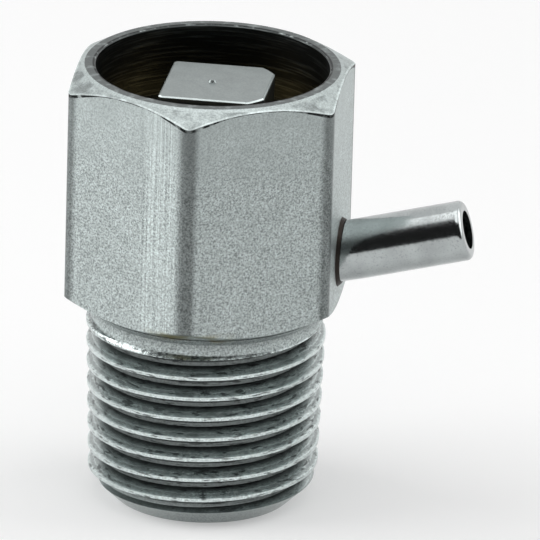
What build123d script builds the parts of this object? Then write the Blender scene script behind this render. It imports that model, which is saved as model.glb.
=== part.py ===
"""Radiator bleed valve: a tapered pipe thread, a hexagon body, a side spout and a recessed square spindle.

The valve stands on its threaded end: the origin is the centre of that end face, +Z runs up the valve axis
to the key end, and the spout points towards +X, tilted up. All sizes are in millimetres, with the valve shut.
"""

import os
from math import atan, cos, degrees, radians, sin, tan

from build123d import *

# Pipe thread: R 1/8, 28 threads per inch, given at the crest of its taper
pipe_thread_diameter = 9.728
pipe_pitch = 0.907
gauge_length = 4.0
taper = 1 / 16
shank_length = 8.6
pipe_thread_start = -0.655
pipe_thread_flank = 27.5
pipe_crest_flat = 0.15
pipe_thread_depth = 0.58
thread_reach = 0.08
runout_turns = 0.5
end_chamfer = 1.0
neck_length = 0.95
neck_depth = 0.17
neck_round = 0.3

# Hexagon body
hex_height = 10.2
hex_wall = 0.675
hex_corner_radius = 0.45
chamfer_angle = 30.0
rim_land_inset = 0.25
base_land_inset = 0.41
mouth_step = 0.325
mouth_chamfer = 0.07

# Spindle
stem_diameter = 5.6
flat_cut = 0.65
square_shift = 0.22
head_below_rim = 0.75
head_edge = 0.06
pip_diameter = 0.36
pip_height = 0.1
pip_slope = 30.0
drive_shoulder = 0.7
drive_pitch = 0.75
drive_length = 1.6
drive_flank = 30.0
drive_crest_cut = 0.05
opening_turns = 1.0
tip_length = 0.95
shoulder_chamfer = 0.12

# Swivelling disc holder and its soft washer
flow_gap = 0.5
cup_wall = 0.4
cup_floor = 0.6
washer_thickness = 0.9
washer_proud = 0.2
swivel_neck_diameter = 1.6
swivel_head_diameter = 2.4
swivel_head_height = 0.7
swivel_lip = 0.4
swivel_point = 0.3
tip_wall = 0.75
edge_break = 0.1

# Seat and inlet
seat_depth = 0.2
seat_lip_height = 0.3
seat_lip_width = 0.3
seat_overlap = 0.9
inlet_step = 0.3
inlet_chamfer = 0.3
undercut_length = 0.45

# Gland: washer, O-ring and pressed ring
gland_washer_thickness = 0.3
o_ring_section = 1.0
o_ring_squeeze = 0.09
o_ring_corner = 0.3
gland_wall = 0.79
gland_roof = 0.7
gland_chamfer = 0.15
square_runout = 0.35

# Spout
spout_angle = 15.0
spout_rise = 1.98
spout_reach = 5.45
tube_diameter = 2.5
tube_wall = 0.45
tube_end_round = 0.22
tube_root_length = 0.75
tube_root_taper = 1.5
tube_seat_web = 1.25
spigot_diameter = 2.0
spot_face_depth = 0.4
braze_leg = 0.15
braze_crest = 0.05

# Clearances
running_gap = 0.05
seal_gap = 0.01
stop_gap = 0.05

# Radii, worked from the spindle outwards
stem_radius = stem_diameter / 2
square_size = stem_diameter - 2 * flat_cut
drive_radius = stem_radius + drive_shoulder
drive_flat = drive_pitch / 8
drive_depth = (drive_pitch - 3 * drive_flat) / 2 / tan(radians(drive_flank))
chamber_radius = drive_radius - drive_depth
holder_radius = chamber_radius - flow_gap
washer_radius = holder_radius - cup_wall
orifice_radius = washer_radius - seat_overlap
inlet_radius = orifice_radius + inlet_step
pocket_radius = stem_radius + o_ring_section * (1 - o_ring_squeeze)
gland_radius = pocket_radius + gland_wall
recess_radius = gland_radius + mouth_step
hex_apothem = recess_radius + hex_wall
hex_corner = hex_apothem / cos(radians(30))
rim_land = hex_apothem - rim_land_inset
base_land = hex_apothem - base_land_inset
taper_angle = degrees(atan(taper / 2))
runout_angle = degrees(atan(pipe_thread_depth / (runout_turns * pipe_pitch)))
pipe_turns = int((shank_length - neck_length - pipe_thread_start) / pipe_pitch)


def crest_radius(height):
    """Radius of the tapered crest at a height above the end face."""
    return pipe_thread_diameter / 2 + (height - gauge_length) * taper / 2


def chamfer_drop(land):
    """Height that a hexagon corner loses to the chamfer that starts at a land radius."""
    return (hex_corner - land) * tan(radians(chamfer_angle))


# Heights, worked from the seat upwards
rim_z = shank_length + hex_height
chamber_floor_z = shank_length - seat_depth
seat_z = chamber_floor_z + seat_lip_height
holder_z = seat_z + washer_proud
washer_top_z = seat_z + washer_thickness
holder_top_z = washer_top_z + cup_floor
spindle_z = holder_top_z + running_gap
lip_top_z = spindle_z + swivel_lip
swivel_head_z = lip_top_z + running_gap
swivel_top_z = swivel_head_z + swivel_head_height
drive_z = spindle_z + tip_length
shoulder_z = drive_z + drive_length
lift = opening_turns * drive_pitch
gland_floor_z = shoulder_z + lift + stop_gap
ring_z = gland_floor_z + gland_washer_thickness
pocket_height = o_ring_section + 2 * seal_gap
ring_top_z = ring_z + pocket_height + gland_roof
square_z = ring_z + pocket_height + square_runout
head_z = rim_z - head_below_rim

# The spout's axis lies in the XZ plane and crosses the chamber's wall spout_rise above the chamber's floor
spout_slope = radians(spout_angle)
wall_run = (hex_apothem - chamber_radius) / cos(spout_slope)
tube_depth = wall_run - tube_seat_web
tube_radius = tube_diameter / 2
tube_bore_radius = tube_radius - tube_wall
spigot_radius = spigot_diameter / 2
spout_root = Vector(hex_apothem, 0, chamber_floor_z + spout_rise + wall_run * sin(spout_slope))
spout_direction = Vector(cos(spout_slope), 0, sin(spout_slope))


def spout_plane(distance):
    """Plane square to the spout's axis, at a distance out from the flat along that axis."""
    return Plane(origin=spout_root + spout_direction * distance, x_dir=(0, 1, 0), z_dir=spout_direction)


def turned(points):
    """Solid turned about the valve's axis from an outline of (radius, height) points."""
    with BuildPart() as blank:
        with BuildSketch(Plane.XZ):
            with BuildLine():
                Polyline(*points, close=True)
            make_face()
        revolve(axis=Axis.Z)
    return blank.part


def thread(start, pitch, turns, outer, inner, outer_half, inner_half, cone=0.0):
    """Helical solid from a height on +X, between two radii with a half width at each, on a cone if given."""
    with BuildPart() as helical:
        with BuildLine() as path:
            Helix(pitch, pitch * turns, inner, center=(0, 0, start), cone_angle=cone)
        with BuildSketch(Plane.XZ):
            with BuildLine():
                Polyline(
                    (outer, start - outer_half),
                    (outer, start + outer_half),
                    (inner, start + inner_half),
                    (inner, start - inner_half),
                    close=True,
                )
            make_face()
        sweep(path=path.wires()[0], is_frenet=True)
    return helical.part


def write(part, name):
    """Labels a finished piece and writes it as its own STEP file."""
    part.label = name
    export_step(part, f"parts/{name}.step")


os.makedirs("parts", exist_ok=True)

# Shank with its tapered pipe thread, and the half turn in which the groove runs out
neck_z = shank_length - neck_length
neck_radius = crest_radius(shank_length) - neck_depth
crest_half = (pipe_pitch - pipe_crest_flat) / 2
root_half = crest_half - pipe_thread_depth * tan(radians(pipe_thread_flank))
reach_half = crest_half + thread_reach * tan(radians(pipe_thread_flank))
runout_z = pipe_thread_start + pipe_turns * pipe_pitch
with BuildPart() as shank:
    blank = turned(
        [
            (0, 0),
            (crest_radius(0) - end_chamfer, 0),
            (crest_radius(end_chamfer), end_chamfer),
            (crest_radius(neck_z), neck_z),
            (neck_radius, neck_z + neck_depth),
            (neck_radius, shank_length - neck_round),
            (neck_radius + neck_round, shank_length),
            (0, shank_length),
        ]
    )
    add(blank)
    pipe_groove = thread(
        pipe_thread_start,
        pipe_pitch,
        pipe_turns,
        crest_radius(pipe_thread_start) + thread_reach,
        crest_radius(pipe_thread_start) - pipe_thread_depth,
        reach_half,
        root_half,
        taper_angle,
    )
    add(pipe_groove, mode=Mode.SUBTRACT)
    runout = thread(
        runout_z,
        pipe_pitch,
        runout_turns,
        crest_radius(runout_z) + thread_reach,
        crest_radius(runout_z) - pipe_thread_depth,
        reach_half,
        root_half,
        runout_angle,
    )
    add(runout, mode=Mode.SUBTRACT)

# Female drive thread: half width where it meets the bore, start height and turns
wall_half = (drive_pitch - drive_flat) / 2 + running_gap * tan(radians(drive_flank))
female_z = drive_z + wall_half
female_turns = (gland_floor_z - drive_z - 2 * wall_half - stop_gap) / drive_pitch

# Valve body: a hexagon with conical chamfers on the threaded shank
with BuildPart() as valve_body:
    with BuildSketch(Plane.XY.offset(shank_length)):
        RegularPolygon(hex_apothem, 6, major_radius=False, rotation=30)
        fillet(vertices(), hex_corner_radius)
    extrude(amount=hex_height)
    chamfer_cone = turned(
        [
            (0, shank_length),
            (base_land, shank_length),
            (hex_corner, shank_length + chamfer_drop(base_land)),
            (hex_corner, rim_z - chamfer_drop(rim_land)),
            (rim_land, rim_z),
            (0, rim_z),
        ]
    )
    add(chamfer_cone, mode=Mode.INTERSECT)
    add(shank.part)

    # Bored through: inlet, seat, chamber, gland and key recess
    bores = turned(
        [
            (0, 0),
            (inlet_radius + inlet_chamfer, 0),
            (inlet_radius, inlet_chamfer),
            (inlet_radius, chamber_floor_z - seat_depth - inlet_step),
            (orifice_radius, chamber_floor_z - seat_depth),
            (orifice_radius, seat_z),
            (orifice_radius + seat_lip_width, seat_z),
            (orifice_radius + seat_lip_width + seat_lip_height, chamber_floor_z),
            (chamber_radius, chamber_floor_z),
            (chamber_radius, drive_z - undercut_length),
            (drive_radius, drive_z - undercut_length),
            (drive_radius, gland_floor_z),
            (gland_radius, gland_floor_z),
            (gland_radius, ring_top_z),
            (recess_radius, ring_top_z),
            (recess_radius, rim_z - mouth_chamfer),
            (recess_radius + mouth_chamfer, rim_z),
            (0, rim_z),
        ]
    )
    add(bores, mode=Mode.SUBTRACT)

    # Spot face and bore that take the tube, and the smaller port behind them
    with BuildSketch(spout_plane(tube_diameter)):
        Circle(tube_radius + seal_gap)
    extrude(amount=-(tube_diameter + spot_face_depth), mode=Mode.SUBTRACT)
    with BuildSketch(spout_plane(-spot_face_depth)):
        Circle(spigot_radius + seal_gap)
    extrude(amount=-(tube_depth - spot_face_depth), mode=Mode.SUBTRACT)
    with BuildSketch(spout_plane(-tube_depth)):
        Circle(tube_bore_radius)
    extrude(amount=-(tube_seat_web + flow_gap), mode=Mode.SUBTRACT)

    # Female drive thread, added to the plain bore above the undercut
    female = thread(
        female_z,
        drive_pitch,
        female_turns,
        drive_radius + running_gap,
        chamber_radius,
        wall_half,
        drive_flat,
    )
    add(female)
write(valve_body.part, "valve_body")

# Male drive thread, in step with the female groove and thinner than it by the running gap
drive_crest = drive_radius - drive_crest_cut - running_gap
drive_root = chamber_radius - running_gap
drive_core = drive_root - running_gap
flank_gap = running_gap / cos(radians(drive_flank))
crest_half_width = drive_flat / 2 + (drive_radius - drive_crest) * tan(radians(drive_flank)) - flank_gap
core_half_width = drive_flat / 2 + (drive_radius - drive_core) * tan(radians(drive_flank)) - flank_gap
male_z = drive_z + core_half_width + stop_gap
male_phase = (male_z - female_z - drive_pitch / 2) / drive_pitch * 360
male = thread(
    male_z,
    drive_pitch,
    (drive_length - 2 * core_half_width - 2 * stop_gap) / drive_pitch,
    drive_crest,
    drive_core,
    crest_half_width,
    core_half_width,
)

# Spindle: square key head on a turned stem, drive thread, and a rolled socket that holds the disc
tip_radius = swivel_head_diameter / 2 + running_gap + tip_wall
with BuildPart() as spindle:
    stem = turned(
        [
            (0, spindle_z),
            (tip_radius - edge_break, spindle_z),
            (tip_radius, spindle_z + edge_break),
            (tip_radius, drive_z),
            (drive_root - shoulder_chamfer, drive_z),
            (drive_root, drive_z + shoulder_chamfer),
            (drive_root, shoulder_z),
            (stem_radius, shoulder_z),
            (stem_radius, head_z),
            (0, head_z),
        ]
    )
    add(stem)
    with BuildSketch(Plane.XY.offset(square_z)):
        Circle(stem_diameter)
        with Locations((square_shift, 0)):
            Rectangle(square_size, square_size, mode=Mode.SUBTRACT)
    extrude(amount=head_z - square_z, mode=Mode.SUBTRACT)
    chamfer(edges().group_by(Axis.Z)[-1], head_edge)
    with BuildSketch(Plane.XY.offset(head_z)):
        Circle(pip_diameter / 2)
    extrude(amount=pip_height, taper=pip_slope)
    socket = turned(
        [
            (0, spindle_z),
            (swivel_neck_diameter / 2 + running_gap, spindle_z),
            (swivel_neck_diameter / 2 + running_gap, lip_top_z),
            (swivel_head_diameter / 2 + running_gap, lip_top_z),
            (swivel_head_diameter / 2 + running_gap, swivel_top_z + running_gap),
            (0, swivel_top_z + running_gap + swivel_point),
        ]
    )
    add(socket, mode=Mode.SUBTRACT)
    add(male.rotate(Axis.Z, male_phase))
write(spindle.part, "spindle")

# Disc holder: a cup for the washer with a mushroom head that swivels in the spindle
with BuildPart() as disc_holder:
    holder = turned(
        [
            (0, washer_top_z),
            (washer_radius, washer_top_z),
            (washer_radius, holder_z),
            (holder_radius, holder_z),
            (holder_radius, holder_top_z - edge_break),
            (holder_radius - edge_break, holder_top_z),
            (swivel_neck_diameter / 2, holder_top_z),
            (swivel_neck_diameter / 2, swivel_head_z),
            (swivel_head_diameter / 2, swivel_head_z),
            (swivel_head_diameter / 2, swivel_top_z - edge_break),
            (swivel_head_diameter / 2 - edge_break, swivel_top_z),
            (0, swivel_top_z),
        ]
    )
    add(holder)
write(disc_holder.part, "disc_holder")

# Soft washer that closes on the seat
with BuildPart() as seat_washer:
    washer = turned(
        [
            (0, seat_z + seal_gap),
            (washer_radius - seal_gap - edge_break, seat_z + seal_gap),
            (washer_radius - seal_gap, seat_z + seal_gap + edge_break),
            (washer_radius - seal_gap, washer_top_z),
            (0, washer_top_z),
        ]
    )
    add(washer)
write(seat_washer.part, "seat_washer")

# Gland washer: flat ring under the O-ring, and the stop for the spindle's shoulder
with BuildPart() as gland_washer:
    with BuildSketch(Plane.XY.offset(gland_floor_z)):
        Circle(gland_radius - seal_gap)
        Circle(stem_radius + running_gap, mode=Mode.SUBTRACT)
    extrude(amount=gland_washer_thickness)
write(gland_washer.part, "gland_washer")

# O-ring, drawn squeezed between the stem and the gland ring
with BuildPart() as o_ring:
    with BuildSketch(Plane.XZ):
        with Locations(((stem_radius + pocket_radius) / 2, ring_z + pocket_height / 2)):
            Rectangle(pocket_radius - stem_radius - 2 * seal_gap, o_ring_section)
        chamfer(vertices(), o_ring_corner)
    revolve(axis=Axis.Z)
write(o_ring.part, "o_ring")

# Gland ring, pressed into the body over the O-ring
with BuildPart() as gland_ring:
    ring = turned(
        [
            (pocket_radius, ring_z),
            (gland_radius - seal_gap - edge_break, ring_z),
            (gland_radius - seal_gap, ring_z + edge_break),
            (gland_radius - seal_gap, ring_top_z - gland_chamfer),
            (gland_radius - seal_gap - gland_chamfer, ring_top_z),
            (stem_radius + running_gap + gland_chamfer, ring_top_z),
            (stem_radius + running_gap, ring_top_z - gland_chamfer),
            (stem_radius + running_gap, ring_z + pocket_height),
            (pocket_radius, ring_z + pocket_height),
        ]
    )
    add(ring)
write(gland_ring.part, "gland_ring")

# Spout tube with a rounded outer end, a root that tapers slightly into its hole, and a turned-down spigot
with BuildPart() as spout_tube:
    with BuildSketch(spout_plane(-tube_depth)):
        Circle(spigot_radius)
    extrude(amount=tube_depth)
    with BuildSketch(spout_plane(tube_root_length)):
        Circle(tube_radius)
    extrude(amount=-(tube_root_length + spot_face_depth), taper=tube_root_taper)
    with BuildSketch(spout_plane(tube_root_length)):
        Circle(tube_radius)
    extrude(amount=spout_reach - tube_root_length)
    tube_end = faces().sort_by(Axis(tuple(spout_root), tuple(spout_direction)))[-1]
    fillet(tube_end.outer_wire().edges(), tube_end_round)
    with BuildSketch(spout_plane(-tube_depth)):
        Circle(tube_bore_radius)
    extrude(amount=tube_depth + spout_reach, mode=Mode.SUBTRACT)
write(spout_tube.part, "spout_tube")

# Braze bead around the tube where it leaves the flat
flat_plane = Plane(origin=spout_root, x_dir=(0, 1, 0), z_dir=(1, 0, 0))
with BuildPart() as braze_bead:
    with BuildSketch(flat_plane):
        Ellipse(tube_radius + braze_leg, (tube_radius + braze_leg) / cos(spout_slope))
    with BuildSketch(flat_plane.offset(braze_leg)):
        with Locations((0, braze_leg * tan(spout_slope))):
            Ellipse(tube_radius + braze_crest, (tube_radius + braze_crest) / cos(spout_slope))
    loft(ruled=True)
    with BuildSketch(spout_plane(-tube_diameter)):
        Circle(tube_radius + seal_gap)
    extrude(amount=2 * tube_diameter, mode=Mode.SUBTRACT)
write(braze_bead.part, "braze_bead")
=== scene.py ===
"""Radiator bleed valve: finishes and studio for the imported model, laid out as a Blender add-on."""

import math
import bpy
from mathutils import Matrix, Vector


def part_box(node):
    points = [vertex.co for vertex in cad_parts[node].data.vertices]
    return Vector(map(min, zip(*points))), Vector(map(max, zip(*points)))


bl_info = {
    "name": "Radiator bleed valve",
    "version": (1, 0, 0),
    "blender": (4, 5, 0),
    "location": "View3D > Sidebar > Bleed valve",
    "description": "Finishes the valve's pieces and sets up its studio",
    "category": "Object",
}

import bpy
from mathutils import Matrix, Vector

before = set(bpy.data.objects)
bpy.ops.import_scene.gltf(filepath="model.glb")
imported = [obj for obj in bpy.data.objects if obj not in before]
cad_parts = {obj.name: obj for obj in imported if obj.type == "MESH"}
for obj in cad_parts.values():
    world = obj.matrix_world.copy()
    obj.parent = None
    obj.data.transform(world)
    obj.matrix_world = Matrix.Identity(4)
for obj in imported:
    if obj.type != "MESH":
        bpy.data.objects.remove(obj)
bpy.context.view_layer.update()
MM = 0.001

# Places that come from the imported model
BODY_LOW, BODY_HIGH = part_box("valve_body")
RIM_Z = BODY_HIGH.z
FLAT_X = BODY_HIGH.x
PIP_HEIGHT = 0.1 * MM
KEY_TOP_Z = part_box("spindle")[1].z - PIP_HEIGHT

# Sizes that the CAD source gives
SHANK_LENGTH = 8.6 * MM
RECESS_RADIUS = 4.825 * MM
DRIVE_RADIUS = 3.5 * MM
RIM_LAND_RADIUS = 5.25 * MM
CREST_RADIUS = 4.864 * MM
GAUGE_LENGTH = 4.0 * MM
TAPER_SLOPE = 1 / 32
THREAD_DEPTH = 0.58 * MM
CHAMFER_SLOPE = math.tan(math.radians(30))
HALF_FLAT = FLAT_X * math.tan(math.radians(30))


class PlatingSettings(bpy.types.PropertyGroup):
    """Colours and roughness of the plated and bare metals."""

    nickel: bpy.props.FloatVectorProperty(
        name="Nickel plating",
        description="Colour of the satin plating on the body",
        subtype="COLOR",
        size=3,
        min=0.0,
        max=1.0,
        default=(0.43, 0.477, 0.472),
    )
    bright_nickel: bpy.props.FloatVectorProperty(
        name="Bright nickel",
        description="Colour of the smoother plating on the spout",
        subtype="COLOR",
        size=3,
        min=0.0,
        max=1.0,
        default=(0.44, 0.47, 0.47),
    )
    brass: bpy.props.FloatVectorProperty(
        name="Brass",
        description="Colour of the bare brass inside the valve",
        subtype="COLOR",
        size=3,
        min=0.0,
        max=1.0,
        default=(0.62, 0.46, 0.2),
    )
    flat_roughness: bpy.props.FloatProperty(
        name="Flat roughness",
        description="Roughness of the hexagon's flats",
        min=0.05,
        max=1.0,
        default=0.46,
    )
    spout_roughness: bpy.props.FloatProperty(
        name="Spout roughness",
        description="Roughness of the spout tube",
        min=0.05,
        max=1.0,
        default=0.12,
    )
    grain_size: bpy.props.FloatProperty(
        name="Grain size",
        description="Size of the fine grain in the plating",
        subtype="DISTANCE",
        unit="LENGTH",
        min=0.00001,
        default=0.00008,
    )


class StudioSettings(bpy.types.PropertyGroup):
    """Camera and light of the studio."""

    azimuth: bpy.props.FloatProperty(
        name="Camera azimuth",
        description="Turn of the camera round the valve, from the front towards the spout",
        subtype="ANGLE",
        unit="ROTATION",
        default=math.radians(8.1),
    )
    elevation: bpy.props.FloatProperty(
        name="Camera elevation",
        description="Height of the camera above the horizon",
        subtype="ANGLE",
        unit="ROTATION",
        default=math.radians(21.1),
    )
    roll: bpy.props.FloatProperty(
        name="Camera roll",
        description="Lean of the valve in the picture, clockwise",
        subtype="ANGLE",
        unit="ROTATION",
        default=math.radians(1.6),
    )
    lens: bpy.props.FloatProperty(
        name="Lens",
        description="Focal length in millimetres, on a 36 mm sensor",
        min=50.0,
        default=800.0,
    )
    picture_width: bpy.props.FloatProperty(
        name="Picture width",
        description="Width of the view at the valve",
        subtype="DISTANCE",
        unit="LENGTH",
        default=0.02217,
    )
    rim_right: bpy.props.FloatProperty(
        name="Rim centre across",
        description="Distance of the rim's centre from the picture's centre, to the right",
        subtype="DISTANCE",
        unit="LENGTH",
        default=-0.002344,
    )
    rim_up: bpy.props.FloatProperty(
        name="Rim centre up",
        description="Distance of the rim's centre from the picture's centre, upwards",
        subtype="DISTANCE",
        unit="LENGTH",
        default=0.008436,
    )
    floor_size: bpy.props.FloatProperty(
        name="Floor size",
        description="Side of the floor",
        subtype="DISTANCE",
        unit="LENGTH",
        default=2.0,
    )
    floor_shade: bpy.props.FloatProperty(
        name="Floor shade",
        description="Grey level of the pale floor",
        min=0.0,
        max=1.0,
        default=0.74,
    )
    floor_glow: bpy.props.FloatProperty(
        name="Floor glow",
        description="Brightness that the floor adds where it is seen or mirrored, near to white",
        min=0.0,
        max=1.0,
        default=0.28,
    )
    sky_level: bpy.props.FloatProperty(
        name="Sky level",
        description="Strength of the even light from all round",
        min=0.0,
        default=0.35,
    )
    room_shade: bpy.props.FloatProperty(
        name="Room shade",
        description="Grey level that metal reflects from the dim room in front of the valve",
        min=0.0,
        max=1.0,
        default=0.02,
    )


def deselect_all():
    """Leaves nothing selected, so that the next operator acts on its own object only."""
    bpy.ops.object.select_all(action="DESELECT")


class MaterialMaker:
    """Builds one node material; each method adds a node and returns its output."""

    def __init__(self, name):
        self.material = bpy.data.materials.new(name)
        self.material.use_nodes = True
        self.tree = self.material.node_tree
        self.shader = self.tree.nodes["Principled BSDF"]
        self.place = self.tree.nodes.new("ShaderNodeTexCoord").outputs["Object"]

    def link(self, source, target):
        self.tree.links.new(source, target)

    def stretched(self, scale):
        """Object coordinates scaled by a number or three numbers, in 1/m."""
        mapping = self.tree.nodes.new("ShaderNodeMapping")
        mapping.inputs["Scale"].default_value = scale
        self.link(self.place, mapping.inputs["Vector"])
        return mapping.outputs["Vector"]

    def noise(self, size, detail=2.0, roughness=0.5, squash=(1.0, 1.0, 1.0)):
        """Noise whose patches are about size metres wide."""
        texture = self.tree.nodes.new("ShaderNodeTexNoise")
        texture.inputs["Scale"].default_value = 1.0
        texture.inputs["Detail"].default_value = detail
        texture.inputs["Roughness"].default_value = roughness
        self.link(self.stretched([s / size for s in squash]), texture.inputs["Vector"])
        return texture.outputs["Fac"]

    def ramp(self, value, low, high, start=0.0, end=1.0):
        """Value remapped from low..high to start..end, clamped."""
        node = self.tree.nodes.new("ShaderNodeMapRange")
        node.inputs["From Min"].default_value = low
        node.inputs["From Max"].default_value = high
        node.inputs["To Min"].default_value = start
        node.inputs["To Max"].default_value = end
        self.link(value, node.inputs["Value"])
        return node.outputs["Result"]

    def math(self, operation, a, b=None):
        node = self.tree.nodes.new("ShaderNodeMath")
        node.operation = operation
        for socket, value in zip(node.inputs, (a, b)):
            if value is None:
                continue
            if isinstance(value, (int, float)):
                socket.default_value = value
            else:
                self.link(value, socket)
        return node.outputs["Value"]

    def axes(self):
        """The three object coordinates."""
        node = self.tree.nodes.new("ShaderNodeSeparateXYZ")
        self.link(self.place, node.inputs["Vector"])
        return node.outputs["X"], node.outputs["Y"], node.outputs["Z"]

    def window(self, value, low, high, soft):
        """One between low and high, falling to zero over soft on each side."""
        rising = self.ramp(value, low - soft, low)
        return self.math("MULTIPLY", rising, self.ramp(value, high, high + soft, 1.0, 0.0))

    def fade(self, mask, lowest):
        """One where the mask is zero, and lowest where it is one."""
        return self.ramp(mask, 0.0, 1.0, 1.0, lowest)

    def blend(self, mask, first, second):
        """Number between two numbers or outputs."""
        change = self.math("MULTIPLY", mask, self.math("SUBTRACT", second, first))
        return self.math("ADD", first, change)

    def scaled(self, colour, level):
        """Colour times a level."""
        node = self.tree.nodes.new("ShaderNodeVectorMath")
        node.operation = "SCALE"
        node.inputs[0].default_value = colour
        self.link(level, node.inputs["Scale"])
        return node.outputs["Vector"]

    def mix(self, factor, first, second):
        """Colour between two colours or colour outputs."""
        node = self.tree.nodes.new("ShaderNodeMix")
        node.data_type = "RGBA"
        self.link(factor, node.inputs["Factor"])
        for socket, value in ((node.inputs["A"], first), (node.inputs["B"], second)):
            if isinstance(value, bpy.types.NodeSocket):
                self.link(value, socket)
            else:
                socket.default_value = (*value, 1.0)
        return node.outputs["Result"]

    def bump(self, height, depth, strength=1.0):
        """Bump from a height of 0..1 that stands for depth metres."""
        node = self.tree.nodes.new("ShaderNodeBump")
        node.inputs["Strength"].default_value = strength
        node.inputs["Distance"].default_value = depth
        self.link(height, node.inputs["Height"])
        self.link(node.outputs["Normal"], self.shader.inputs["Normal"])

    def finish(self, metallic, **values):
        self.shader.inputs["Metallic"].default_value = metallic
        for name, value in values.items():
            self.shader.inputs[name.replace("_", " ").title()].default_value = value
        return self.material


def darker(colour, factor):
    return tuple(c * factor for c in colour)


def plated_metal(name, colour, roughness, grain, depth):
    """Satin nickel: a fine grain, cloudy stains and slightly uneven gloss."""
    maker = MaterialMaker(name)
    fine = maker.noise(grain, detail=3.0)
    cloud = maker.noise(12 * grain, detail=4.0)
    stain = maker.ramp(cloud, 0.35, 0.7)
    base = maker.mix(stain, colour, darker(colour, 0.82))
    speck = maker.ramp(fine, 0.55, 0.75)
    maker.link(maker.mix(speck, base, darker(colour, 0.7)), maker.shader.inputs["Base Color"])
    gloss = maker.ramp(fine, 0.3, 0.7, roughness - 0.05, roughness + 0.1)
    maker.link(gloss, maker.shader.inputs["Roughness"])
    maker.bump(fine, depth)
    return maker.finish(1.0)


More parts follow.
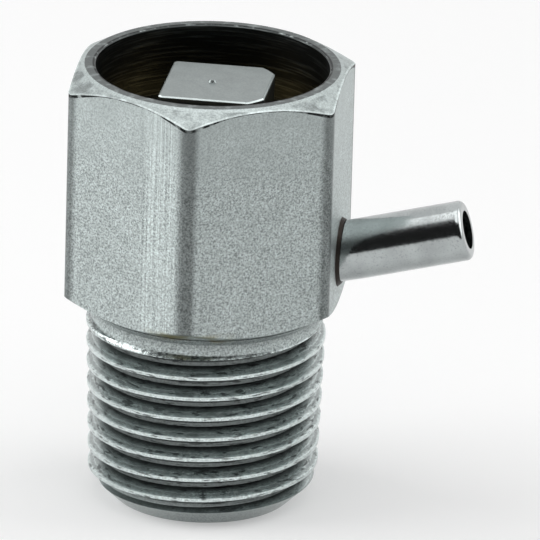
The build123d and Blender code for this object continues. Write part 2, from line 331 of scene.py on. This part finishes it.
def body_metal(plating):
    """Satin nickel of the body, with painted shade in the bore, the thread roots, the corners and along the
    chamfer edges, painted highlights on the thread crests and chamfer edges, scuffs and drawing lines.
    """
    maker = MaterialMaker("satin_nickel")
    nickel = tuple(plating.nickel)
    x, y, z = maker.axes()
    radius = maker.math("SQRT", maker.math("ADD", maker.math("MULTIPLY", x, x), maker.math("MULTIPLY", y, y)))
    turn = maker.math("ARCTAN2", y, x)
    sixth = math.radians(60)
    from_middle = maker.math(
        "SUBTRACT", maker.math("FLOORED_MODULO", maker.math("ADD", turn, sixth / 2), sixth), sixth / 2
    )
    apothem = maker.math("MULTIPLY", radius, maker.math("COSINE", from_middle))
    along = maker.math("ABSOLUTE", maker.math("MULTIPLY", radius, maker.math("SINE", from_middle)))

    on_outside = maker.ramp(radius, DRIVE_RADIUS, DRIVE_RADIUS + 0.2 * MM)
    below_neck = maker.ramp(z, SHANK_LENGTH - 0.85 * MM, SHANK_LENGTH - 0.75 * MM, 1.0, 0.0)
    on_thread = maker.math("MULTIPLY", below_neck, on_outside)

    # Grain, stronger low on the flats, and broad clouds of slightly different gloss
    grain = maker.noise(plating.grain_size, detail=3.0, roughness=0.7)
    cloud = maker.noise(14 * plating.grain_size, detail=3.0)
    smooth_top = maker.ramp(maker.math("ADD", z, maker.math("MULTIPLY", cloud, 4 * MM)), 17 * MM, 20 * MM)
    grainy = maker.ramp(grain, 0.36, 0.64)
    contrast = maker.math("MULTIPLY", maker.fade(smooth_top, 0.45), maker.fade(on_thread, 0.45))
    level = maker.math("ADD", 1.0, maker.math("MULTIPLY", maker.math("SUBTRACT", grainy, 0.5), contrast))
    level = maker.math("MULTIPLY", level, maker.ramp(cloud, 0.3, 0.7, 1.04, 0.94))

    # Painted shade on the flats at the rounded corners, and the drawn bar left lines beside one of them
    on_hexagon = maker.ramp(radius, FLAT_X - 0.1 * MM, FLAT_X - 0.05 * MM)
    on_rim = maker.ramp(radius, RECESS_RADIUS + 0.02 * MM, RECESS_RADIUS + 0.04 * MM)
    cone_tip_z = RIM_Z + RIM_LAND_RADIUS * CHAMFER_SLOPE
    cone_z = maker.math("ADD", maker.math("MULTIPLY", radius, -CHAMFER_SLOPE), cone_tip_z)
    below = maker.math("SUBTRACT", cone_z, z)
    on_flats = maker.math("MULTIPLY", maker.ramp(below, 0.01 * MM, 0.02 * MM), on_hexagon)
    # Painted shade: the flat's colour darkens towards each rounded corner
    painted_corner_shade = maker.ramp(along, HALF_FLAT - 0.55 * MM, HALF_FLAT - 0.27 * MM)
    level = maker.math("MULTIPLY", level, maker.fade(maker.math("MULTIPLY", painted_corner_shade, on_flats), 0.45))
    lines = maker.noise(0.09 * MM, detail=2.0, squash=(1.0, 1.0, 0.01))
    beside = maker.window(turn, math.radians(-110), math.radians(-97), math.radians(3))
    streaks = maker.math("MULTIPLY", beside, maker.ramp(lines, 0.35, 0.65, -0.12, 0.35))
    level = maker.math("ADD", level, maker.math("MULTIPLY", streaks, on_flats))

    # Chamfer edges: a painted shade line on the flat, deepest near the corners, and a painted highlight line on
    # the chamfer above it
    patchy = maker.ramp(maker.noise(0.4 * MM, detail=5.0), 0.3, 0.5)
    near_corner = maker.ramp(along, 1.4 * MM, 2.7 * MM, 0.3, 1.0)
    scaled_below = maker.math("DIVIDE", below, near_corner)
    # Painted shade along the chamfer edge on the flat
    painted_edge_shade = maker.math("MULTIPLY", maker.window(scaled_below, 0.0, 0.13 * MM, 0.03 * MM), on_flats)
    level = maker.math("MULTIPLY", level, maker.fade(maker.math("MULTIPLY", painted_edge_shade, patchy), 0.05))
    inward = maker.math("SUBTRACT", FLAT_X, apothem)
    on_cone = maker.math("MULTIPLY", maker.fade(maker.ramp(below, 0.01 * MM, 0.015 * MM), 0.0), on_hexagon)
    # Painted highlight along the chamfer edge
    painted_edge_highlight = maker.math("MULTIPLY", maker.window(inward, 0.0, 0.06 * MM, 0.02 * MM), on_cone)
    level = maker.math("ADD", level, maker.math("MULTIPLY", painted_edge_highlight, 0.4))
    scuffs = maker.ramp(maker.noise(0.7 * MM, detail=5.0, roughness=0.6), 0.45, 0.65)
    level = maker.math("MULTIPLY", level, maker.fade(maker.math("MULTIPLY", scuffs, on_cone), 0.55))

    # Thread: painted highlight on the crests, darker flanks and painted shade in the roots
    crest = maker.math("ADD", maker.math("MULTIPLY", z, TAPER_SLOPE), CREST_RADIUS - GAUGE_LENGTH * TAPER_SLOPE)
    depth = maker.math("DIVIDE", maker.math("SUBTRACT", crest, radius), THREAD_DEPTH)
    ragged = maker.noise(0.2 * MM, detail=4.0, roughness=0.7)
    worn_depth = maker.math("ADD", depth, maker.ramp(ragged, 0.3, 0.7, -0.08, 0.08))
    # Painted highlight on the crests, falling to a darker flank
    painted_crest_highlight = maker.ramp(worn_depth, 0.03, 0.2, 1.45, 0.74)
    # Painted shade in the thread roots
    painted_root_shade = maker.ramp(worn_depth, 0.55, 0.9, 1.0, 0.42)
    torn = maker.math("MULTIPLY", maker.window(worn_depth, 0.4, 0.46, 0.03), 0.3)
    thread_level = maker.math("ADD", maker.math("MULTIPLY", painted_crest_highlight, painted_root_shade), torn)
    drawn_out = maker.noise(0.3 * MM, detail=4.0, roughness=0.6, squash=(0.5, 0.5, 4.0))
    dashes = maker.ramp(drawn_out, 0.56, 0.62)
    thread_level = maker.math("MULTIPLY", thread_level, maker.fade(dashes, 0.3))
    thread_level = maker.blend(maker.ramp(z, 0.7 * MM, 1.0 * MM, 1.0, 0.0), thread_level, 0.8)
    level = maker.math("MULTIPLY", level, maker.blend(on_thread, 1.0, thread_level))

    # Marks where the thread runs out below the neck, and an olive stain under the middle corner
    neck_edge = maker.window(z, SHANK_LENGTH - 1.05 * MM, SHANK_LENGTH - 0.8 * MM, 0.1 * MM)
    marks = maker.math("MULTIPLY", neck_edge, on_outside)
    marks = maker.math("MULTIPLY", marks, maker.ramp(ragged, 0.5, 0.6))
    level = maker.math("MULTIPLY", level, maker.fade(marks, 0.35))

    # Painted shade on the neck just under the hexagon
    below_hexagon = maker.window(z, SHANK_LENGTH - 0.3 * MM, SHANK_LENGTH, 0.35 * MM)
    painted_neck_shade = maker.math("MULTIPLY", below_hexagon, on_outside)
    painted_neck_shade = maker.math("MULTIPLY", painted_neck_shade, maker.fade(on_hexagon, 0.0))
    level = maker.math("MULTIPLY", level, maker.fade(painted_neck_shade, 0.68))

    # Turned land of the rim, darker and patchy, and painted shade at the recess mouth
    on_land = maker.math("MULTIPLY", maker.ramp(z, RIM_Z - 0.02 * MM, RIM_Z - 0.01 * MM), on_rim)
    level = maker.math("MULTIPLY", level, maker.blend(on_land, 1.0, maker.ramp(patchy, 0.0, 1.0, 0.62, 0.3)))
    # Painted shade, patchy, on the top edge of the recess mouth
    recess_mouth_shade = maker.ramp(radius, RECESS_RADIUS + 0.1 * MM, RECESS_RADIUS + 0.14 * MM, 1.0, 0.0)
    recess_mouth_shade = maker.math("MULTIPLY", recess_mouth_shade, maker.ramp(z, RIM_Z - 0.2 * MM, RIM_Z - 0.15 * MM))
    level = maker.math("MULTIPLY", level, maker.fade(maker.math("MULTIPLY", recess_mouth_shade, patchy), 0.15))

    # Bore and key recess, darkened nearly to black as painted shade, with faint turning marks
    upper = maker.math(
        "MULTIPLY",
        maker.ramp(radius, RECESS_RADIUS + 0.02 * MM, RECESS_RADIUS + 0.04 * MM, 1.0, 0.0),
        maker.ramp(z, SHANK_LENGTH, SHANK_LENGTH + 0.1 * MM),
    )
    lower = maker.ramp(radius, DRIVE_RADIUS, DRIVE_RADIUS + 0.1 * MM, 1.0, 0.0)
    shaded_bore = maker.math("MAXIMUM", upper, lower)
    turned = maker.noise(0.1 * MM, detail=3.0, squash=(0.04, 0.04, 1.0))
    # Painted shade: the bore's colour held near black
    bore_painted_shade = maker.ramp(turned, 0.5, 0.72, 0.1, 0.4)
    level = maker.blend(shaded_bore, level, bore_painted_shade)

    low_band = maker.window(z, SHANK_LENGTH, SHANK_LENGTH + 0.35 * MM, 0.25 * MM)
    near_front = maker.window(turn, math.radians(-98), math.radians(-80), math.radians(12))
    stain = maker.math("MULTIPLY", maker.math("MULTIPLY", low_band, near_front), maker.ramp(cloud, 0.4, 0.55))
    metal = maker.mix(stain, maker.scaled(nickel, level), (0.22, 0.2, 0.09))
    maker.link(metal, maker.shader.inputs["Base Color"])
    rough = maker.ramp(grain, 0.3, 0.7, plating.flat_roughness - 0.06, plating.flat_roughness + 0.08)
    rough = maker.blend(on_thread, rough, 0.24)
    maker.link(maker.blend(shaded_bore, rough, 0.32), maker.shader.inputs["Roughness"])
    height = maker.math("ADD", maker.math("MULTIPLY", grain, contrast), maker.math("MULTIPLY", turned, shaded_bore))
    maker.bump(height, 0.012 * MM)
    return maker.finish(1.0)


def key_metal(plating):
    """Milled nickel of the spindle, with a painted highlight round the square's top edge and painted shade
    lower down its sides.
    """
    maker = MaterialMaker("milled_nickel")
    x, y, z = maker.axes()
    grain = maker.noise(plating.grain_size, detail=3.0, roughness=0.7)
    cloud = maker.noise(0.9 * MM, detail=3.0)
    level = maker.ramp(grain, 0.3, 0.7, 0.88, 1.1)
    level = maker.math("MULTIPLY", level, maker.ramp(cloud, 0.3, 0.7, 1.05, 0.9))
    # Painted highlight along the square's top edge
    painted_key_edge_highlight = maker.window(z, KEY_TOP_Z - 0.09 * MM, KEY_TOP_Z - 0.012 * MM, 0.008 * MM)
    level = maker.math("ADD", level, maker.math("MULTIPLY", painted_key_edge_highlight, 0.7))
    # Painted shade lower down the square
    shade = maker.ramp(z, KEY_TOP_Z - 0.3 * MM, KEY_TOP_Z - 0.1 * MM, 0.35, 1.0)
    level = maker.math("MULTIPLY", level, shade)
    maker.link(maker.scaled(darker(plating.nickel, 0.7), level), maker.shader.inputs["Base Color"])
    maker.bump(grain, 0.004 * MM)
    return maker.finish(1.0, roughness=0.4)


def rubber(name):
    """Matt black rubber with a faint moulded grain."""
    maker = MaterialMaker(name)
    grain = maker.noise(0.1 * MM, detail=3.0)
    maker.link(maker.mix(grain, (0.012, 0.012, 0.012), (0.03, 0.03, 0.03)), maker.shader.inputs["Base Color"])
    maker.bump(grain, 0.004 * MM)
    return maker.finish(0.0, roughness=0.7)


def cover(node, material):
    """Gives a CAD node one material."""
    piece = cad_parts[node]
    piece.data.materials.clear()
    piece.data.materials.append(material)
    return piece


class VALVE_OT_body(bpy.types.Operator):
    """Finishes the hexagon body with its pipe thread."""

    bl_idname = "valve.body"
    bl_label = "Body"

    def execute(self, context):
        plating = context.scene.valve_plating
        cover("valve_body", body_metal(plating))
        return {"FINISHED"}


class VALVE_OT_spout(bpy.types.Operator):
    """Finishes the spout tube and the braze bead at its root."""

    bl_idname = "valve.spout"
    bl_label = "Spout"

    def execute(self, context):
        plating = context.scene.valve_plating
        metal = plated_metal(
            "bright_nickel",
            tuple(plating.bright_nickel),
            plating.spout_roughness,
            plating.grain_size,
            0.002 * MM,
        )
        cover("spout_tube", metal)
        cover("braze_bead", plated_metal("braze", (0.035, 0.03, 0.026), 0.5, plating.grain_size, 0.01 * MM))
        return {"FINISHED"}


class VALVE_OT_spindle(bpy.types.Operator):
    """Finishes the spindle with its square key head."""

    bl_idname = "valve.spindle"
    bl_label = "Spindle"

    def execute(self, context):
        plating = context.scene.valve_plating
        cover("spindle", key_metal(plating))
        return {"FINISHED"}


class VALVE_OT_gland(bpy.types.Operator):
    """Finishes the gland, the disc and the seals inside the valve."""

    bl_idname = "valve.gland"
    bl_label = "Gland and disc"

    def execute(self, context):
        plating = context.scene.valve_plating
        brass = plated_metal("turned_brass", tuple(plating.brass), 0.4, plating.grain_size, 0.003 * MM)
        for node in ("gland_ring", "gland_washer", "disc_holder"):
            cover(node, brass)
        seal = rubber("seal_rubber")
        for node in ("o_ring", "seat_washer"):
            cover(node, seal)
        return {"FINISHED"}


def pale_floor_material(shade, seen_glow):
    """Pale floor that keeps the valve's shadow; seen, mirrored or through glass it is nearer to white."""
    maker = MaterialMaker("pale_floor")
    path = maker.tree.nodes.new("ShaderNodeLightPath")
    shown = maker.math("MAXIMUM", path.outputs["Is Camera Ray"], path.outputs["Is Glossy Ray"])
    shown = maker.math("MAXIMUM", shown, path.outputs["Is Transmission Ray"])
    maker.shader.inputs["Base Color"].default_value = (shade, shade, shade, 1.0)
    maker.shader.inputs["Emission Color"].default_value = (1.0, 1.0, 1.0, 1.0)
    maker.link(maker.math("MULTIPLY", shown, seen_glow), maker.shader.inputs["Emission Strength"])
    return maker.finish(0.0, roughness=0.9)


def white_world(level, room_shade):
    """World that lights the valve evenly; seen or reflected it is white, but for the dim room in front."""
    world = bpy.data.worlds.new("studio")
    world.use_nodes = True
    tree = world.node_tree
    background = tree.nodes["Background"]

    def ramp(value, low, high, start, end):
        node = tree.nodes.new("ShaderNodeMapRange")
        node.interpolation_type = "SMOOTHSTEP"
        for name, number in (("From Min", low), ("From Max", high), ("To Min", start), ("To Max", end)):
            node.inputs[name].default_value = number
        tree.links.new(value, node.inputs["Value"])
        return node.outputs["Result"]

    def combine(operation, first, second):
        node = tree.nodes.new("ShaderNodeMath")
        node.operation = operation
        tree.links.new(first, node.inputs[0])
        tree.links.new(second, node.inputs[1])
        return node.outputs["Value"]

    direction = tree.nodes.new("ShaderNodeTexCoord").outputs["Generated"]
    parts = tree.nodes.new("ShaderNodeSeparateXYZ")
    tree.links.new(direction, parts.inputs["Vector"])
    in_front = ramp(parts.outputs["Y"], -0.4, -0.15, 1.0, 0.0)
    low_down = ramp(parts.outputs["Z"], 0.76, 0.88, 1.0, 0.0)
    path = tree.nodes.new("ShaderNodeLightPath")
    room = combine("MULTIPLY", combine("MULTIPLY", in_front, low_down), path.outputs["Is Glossy Ray"])
    tree.links.new(ramp(room, 0.0, 1.0, 1.0, room_shade), background.inputs["Color"])
    shown = combine("MAXIMUM", path.outputs["Is Camera Ray"], path.outputs["Is Glossy Ray"])
    shown = combine("MAXIMUM", shown, path.outputs["Is Transmission Ray"])
    tree.links.new(ramp(shown, 0.0, 1.0, level, 1.0), background.inputs["Strength"])
    bpy.context.scene.world = world


def soft_lamp(name, azimuth, elevation, distance, size, power):
    """Square area lamp that faces the middle of the valve from an azimuth measured like the camera's."""
    data = bpy.data.lights.new(name, "AREA")
    data.size = size
    data.energy = power
    lamp = bpy.data.objects.new(name, data)
    bpy.context.scene.collection.objects.link(lamp)
    a, e = math.radians(azimuth), math.radians(elevation)
    back = Vector((math.sin(a) * math.cos(e), -math.cos(a) * math.cos(e), math.sin(e)))
    lamp.location = Vector((0.0, 0.0, RIM_Z / 2)) + back * distance
    lamp.rotation_euler = back.to_track_quat("Z", "Y").to_euler()
    return lamp


class VALVE_OT_stage(bpy.types.Operator):
    """Makes the camera, the pale floor, the world and the soft lamps."""

    bl_idname = "valve.stage"
    bl_label = "Stage"

    def execute(self, context):
        studio = context.scene.valve_studio
        a, e, roll = studio.azimuth, studio.elevation, studio.roll
        back = Vector((math.sin(a) * math.cos(e), -math.cos(a) * math.cos(e), math.sin(e)))
        level_right = Vector((math.cos(a), math.sin(a), 0.0))
        level_up = back.cross(level_right)
        right = level_right * math.cos(roll) + level_up * math.sin(roll)
        up = level_up * math.cos(roll) - level_right * math.sin(roll)
        data = bpy.data.cameras.new("photo_camera")
        data.sensor_width = 36.0
        data.lens = studio.lens
        camera = bpy.data.objects.new("photo_camera", data)
        context.scene.collection.objects.link(camera)
        distance = studio.picture_width * data.lens / data.sensor_width
        target = Vector((0.0, 0.0, RIM_Z)) - right * studio.rim_right - up * studio.rim_up
        camera.matrix_world = Matrix.Translation(target + back * distance) @ Matrix(
            (right, up, back)
        ).transposed().to_4x4()
        data.clip_start = distance * 0.1
        data.clip_end = distance + studio.floor_size * 4
        context.scene.camera = camera

        deselect_all()
        bpy.ops.mesh.primitive_plane_add(size=studio.floor_size, location=(0.0, 0.0, BODY_LOW.z))
        floor = context.active_object
        floor.name = "floor"
        floor.data.materials.append(pale_floor_material(studio.floor_shade, studio.floor_glow))

        white_world(studio.sky_level, studio.room_shade)
        soft_lamp("key_lamp", -85.0, 20.0, 0.3, 0.28, 0.7)
        soft_lamp("top_lamp", 10.0, 80.0, 0.3, 0.3, 0.28)
        soft_lamp("right_lamp", 110.0, 28.0, 0.32, 0.25, 0.34)
        context.scene.view_settings.view_transform = "Standard"
        return {"FINISHED"}


class VALVE_PT_panel(bpy.types.Panel):
    """Lists the valve's settings and operators."""

    bl_idname = "VALVE_PT_panel"
    bl_label = "Bleed valve"
    bl_space_type = "VIEW_3D"
    bl_region_type = "UI"
    bl_category = "Bleed valve"

    def draw(self, context):
        layout = self.layout
        for group in (context.scene.valve_plating, context.scene.valve_studio):
            for name in group.bl_rna.properties.keys():
                if name not in ("rna_type", "name"):
                    layout.prop(group, name)
        for operator in PIECE_OPERATORS:
            layout.operator(operator.bl_idname)


PIECE_OPERATORS = (VALVE_OT_body, VALVE_OT_spout, VALVE_OT_spindle, VALVE_OT_gland, VALVE_OT_stage)
CLASSES = (PlatingSettings, StudioSettings, *PIECE_OPERATORS, VALVE_PT_panel)


def register():
    for cls in CLASSES:
        bpy.utils.register_class(cls)
    bpy.types.Scene.valve_plating = bpy.props.PointerProperty(type=PlatingSettings)
    bpy.types.Scene.valve_studio = bpy.props.PointerProperty(type=StudioSettings)


def unregister():
    del bpy.types.Scene.valve_studio
    del bpy.types.Scene.valve_plating
    for cls in reversed(CLASSES):
        bpy.utils.unregister_class(cls)


def main():
    register()
    bpy.ops.valve.body()
    bpy.ops.valve.spout()
    bpy.ops.valve.spindle()
    bpy.ops.valve.gland()
    bpy.ops.valve.stage()


if __name__ == "__main__":
    main()
